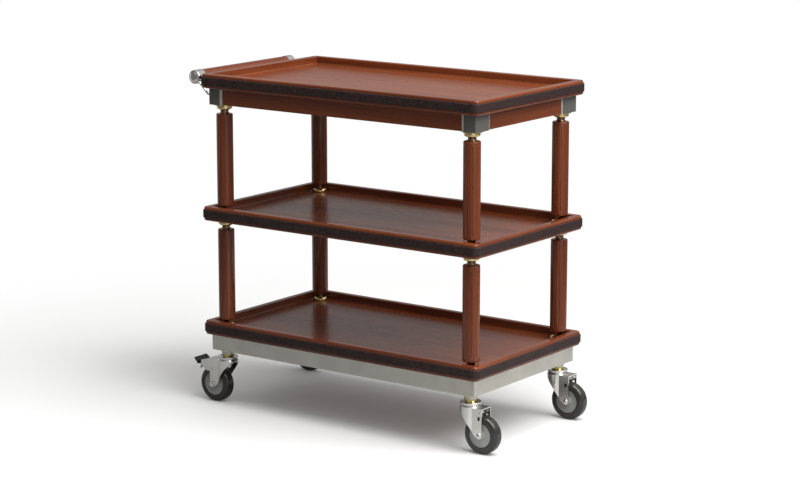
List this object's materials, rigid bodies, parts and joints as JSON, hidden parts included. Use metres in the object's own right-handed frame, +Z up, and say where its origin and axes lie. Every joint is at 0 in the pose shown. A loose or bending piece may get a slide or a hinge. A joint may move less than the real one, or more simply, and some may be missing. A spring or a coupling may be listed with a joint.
{
  "type": "serving trolley",
  "caption": "Three-tier wooden serving trolley with fluted columns, brass collars, dark bumper strips, a steel base, swivel casters with foot brakes and a push handle",
  "frame": {"origin": "on the floor, at the middle of the whole trolley's length and width", "axes": "+X along the length, away from the handle; +Y across the width, to the back; +Z up"},
  "size_m": [1.013, 0.506, 0.907],
  "materials": {
    "wood": "stained mahogany colour under a satin varnish",
    "bumper": "dark brown, fine matt grain",
    "brass": "polished",
    "chrome": "polished plate",
    "steel": "satin",
    "block": "dark grey-brown, smooth",
    "zinc": "zinc plated",
    "tyre": "dark grey, smooth and slightly glossy",
    "hub": "light grey, moulded",
    "pedal": "black, moulded"
  },
  "bodies": {
    "frame": {"top_tray_floor": "wood", "top_tray_rails": "wood", "top_tray_cove": "wood", "top_tray_bumper": "bumper", "middle_tray_floor": "wood", "middle_tray_rails": "wood", "middle_tray_cove": "wood", "middle_tray_bumper": "bumper", "bottom_tray_floor": "wood", "bottom_tray_rails": "wood", "bottom_tray_cove": "wood", "bottom_tray_bumper": "bumper", "apron_long_boards": "wood", "apron_end_boards": "wood", "corner_blocks": "block", "upper_column_front_left": "wood", "upper_column_front_right": "wood", "upper_column_back_left": "wood", "upper_column_back_right": "wood", "lower_column_front_left": "wood", "lower_column_front_right": "wood", "lower_column_back_left": "wood", "lower_column_back_right": "wood", "apron_collars": "brass", "tray_collars": "brass", "upper_foot_collars": "brass", "lower_foot_collars": "brass", "tie_rods": "zinc", "base_frame": "steel", "handle_bar": "wood", "handle_cap_front": "chrome", "handle_cap_back": "chrome", "handle_stay_front": "chrome", "handle_stay_back": "chrome", "caster_bushes": "brass", "caster_stems": "zinc", "swivel_races": "chrome"},
    "pedal_front_left": {"brake_lever_front_left": "zinc", "brake_pedal_front_left": "pedal"},
    "swivel_front_left": {"fork_front_left": "chrome", "axle_front_left": "chrome", "brake_bracket_front_left": "chrome"},
    "wheel_front_left": {"hub_front_left": "hub", "tyre_front_left": "tyre"},
    "swivel_front_right": {"fork_front_right": "chrome", "axle_front_right": "chrome"},
    "wheel_front_right": {"hub_front_right": "hub", "tyre_front_right": "tyre"},
    "pedal_back_left": {"brake_lever_back_left": "zinc", "brake_pedal_back_left": "pedal"},
    "swivel_back_left": {"fork_back_left": "chrome", "axle_back_left": "chrome", "brake_bracket_back_left": "chrome"},
    "wheel_back_left": {"hub_back_left": "hub", "tyre_back_left": "tyre"},
    "swivel_back_right": {"fork_back_right": "chrome", "axle_back_right": "chrome"},
    "wheel_back_right": {"hub_back_right": "hub", "tyre_back_right": "tyre"}
  },
  "joints": [
    {"name": "swivel_turn_front_left", "type": "hinge", "parent": "frame", "child": "swivel_front_left", "pos_m": [-0.3845, -0.205, 0.12], "axis": [0, 0, 1], "continuous": true},
    {"name": "wheel_roll_front_left", "type": "hinge", "parent": "swivel_front_left", "child": "wheel_front_left", "pos_m": [-0.4235, -0.205, 0.05], "axis": [0, 1, 0], "continuous": true},
    {"name": "brake_press_front_left", "type": "hinge", "parent": "swivel_front_left", "child": "pedal_front_left", "pos_m": [-0.4385, -0.205, 0.11], "axis": [0, -1, 0], "range_deg": [0, 8]},
    {"name": "swivel_turn_front_right", "type": "hinge", "parent": "frame", "child": "swivel_front_right", "pos_m": [0.4175, -0.205, 0.12], "axis": [0, 0, 1], "continuous": true},
    {"name": "wheel_roll_front_right", "type": "hinge", "parent": "swivel_front_right", "child": "wheel_front_right", "pos_m": [0.4565, -0.205, 0.05], "axis": [0, 1, 0], "continuous": true},
    {"name": "swivel_turn_back_left", "type": "hinge", "parent": "frame", "child": "swivel_back_left", "pos_m": [-0.3845, 0.205, 0.12], "axis": [0, 0, 1], "continuous": true},
    {"name": "wheel_roll_back_left", "type": "hinge", "parent": "swivel_back_left", "child": "wheel_back_left", "pos_m": [-0.4235, 0.205, 0.05], "axis": [0, 1, 0], "continuous": true},
    {"name": "brake_press_back_left", "type": "hinge", "parent": "swivel_back_left", "child": "pedal_back_left", "pos_m": [-0.4385, 0.205, 0.11], "axis": [0, -1, 0], "range_deg": [0, 8]},
    {"name": "swivel_turn_back_right", "type": "hinge", "parent": "frame", "child": "swivel_back_right", "pos_m": [0.4175, 0.205, 0.12], "axis": [0, 0, 1], "continuous": true},
    {"name": "wheel_roll_back_right", "type": "hinge", "parent": "swivel_back_right", "child": "wheel_back_right", "pos_m": [0.4565, 0.205, 0.05], "axis": [0, 1, 0], "continuous": true}
  ]
}
